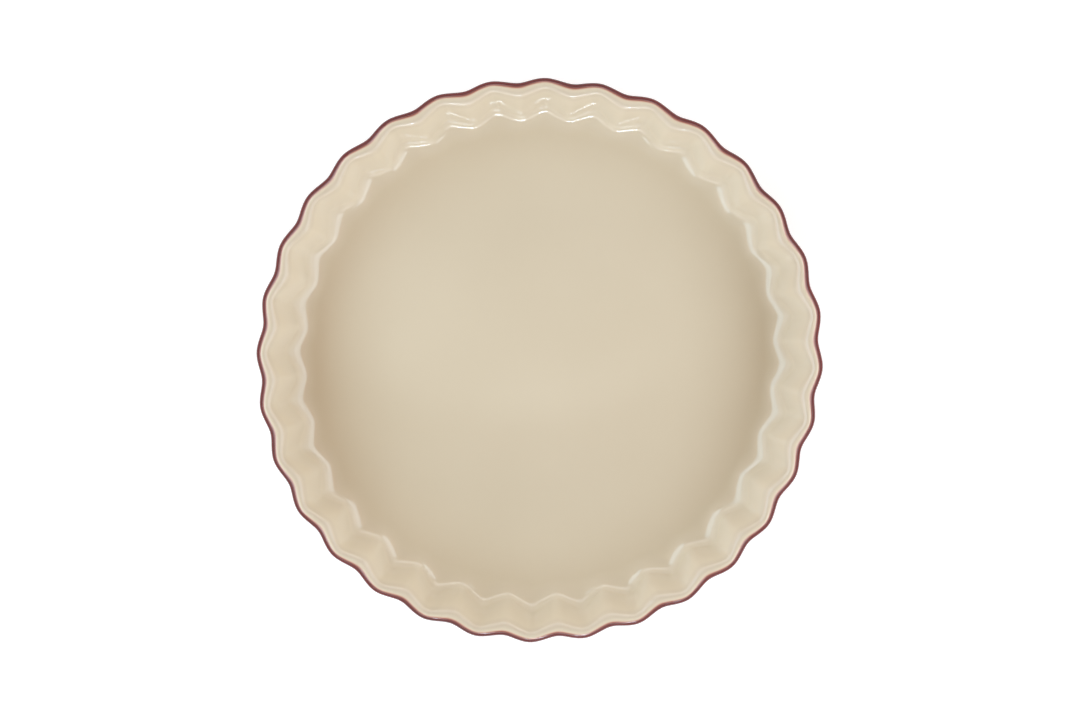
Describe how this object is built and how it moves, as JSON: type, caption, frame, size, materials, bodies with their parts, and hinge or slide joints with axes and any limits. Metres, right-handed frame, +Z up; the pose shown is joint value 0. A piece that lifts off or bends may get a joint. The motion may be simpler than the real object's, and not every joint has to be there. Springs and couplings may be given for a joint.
{
  "type": "pie dish",
  "caption": "Round shallow stoneware pie dish with a fluted leaning wall, a rounded lip and a foot ring, pale glaze inside and dark red glaze outside.",
  "frame": {"origin": "on the dish's axis, in the plane that the foot ring stands on", "axes": "+Z up along the axis of the dish, out of its mouth; a flute crest points along +X"},
  "size_m": [0.28, 0.28, 0.04],
  "materials": {
    "bare_stoneware": "fired clay, unglazed, fine matt grain",
    "cream_glaze": "pale cream glaze, glossy",
    "red_glaze": "dark red glaze, glossy, thinning to salmon where it meets the cream"
  },
  "bodies": {
    "root": {"stoneware_body": "bare_stoneware", "interior_glaze": "cream_glaze", "exterior_glaze": "red_glaze", "base_glaze": "red_glaze"}
  },
  "joints": []
}
